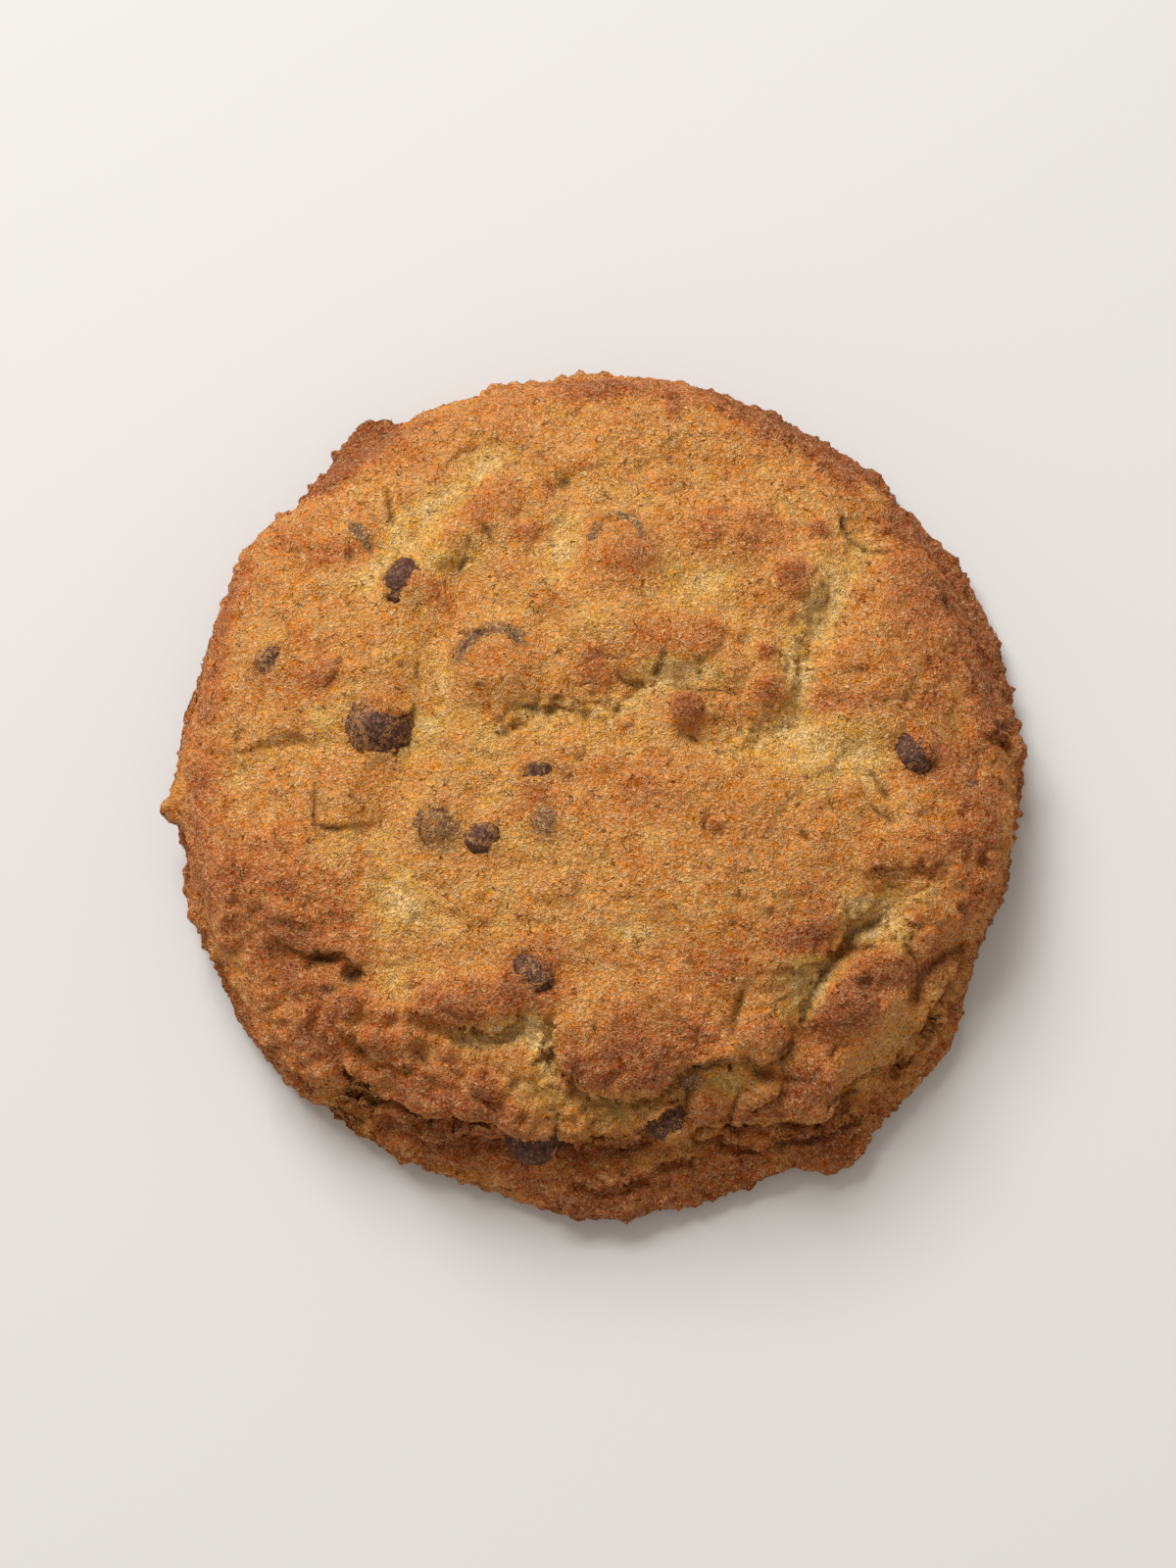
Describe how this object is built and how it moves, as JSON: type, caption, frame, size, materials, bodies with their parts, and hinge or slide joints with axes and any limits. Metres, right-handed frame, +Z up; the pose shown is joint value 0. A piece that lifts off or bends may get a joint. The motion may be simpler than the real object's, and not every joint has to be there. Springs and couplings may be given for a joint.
{
  "type": "chocolate chip cookie",
  "caption": "Thick round drop cookie with a domed, cracked, browned top, a wider ragged rim and chocolate chips set in its crust.",
  "frame": {"origin": "middle of the box round the cookie, on the plane that its flat base rests on", "axes": "+Z up through the domed top; -Y towards the front, where the rim's skirt shows below the lip; +X to the right"},
  "size_m": [0.1024, 0.1014, 0.0221],
  "materials": {
    "baked_dough": "matt, dry, golden brown crust",
    "chocolate": "satin dark chocolate"
  },
  "bodies": {
    "root": {"dough": "baked_dough", "chip_west_large": "chocolate", "chip_west_small": "chocolate", "chip_north_west": "chocolate", "chip_north_west_deep": "chocolate", "chip_centre": "chocolate", "chip_north": "chocolate", "chip_south_west_left": "chocolate", "chip_south_west_right": "chocolate", "chip_middle": "chocolate", "chip_middle_deep": "chocolate", "chip_south": "chocolate", "chip_east": "chocolate", "chip_front": "chocolate", "chip_front_crack": "chocolate"}
  },
  "joints": []
}
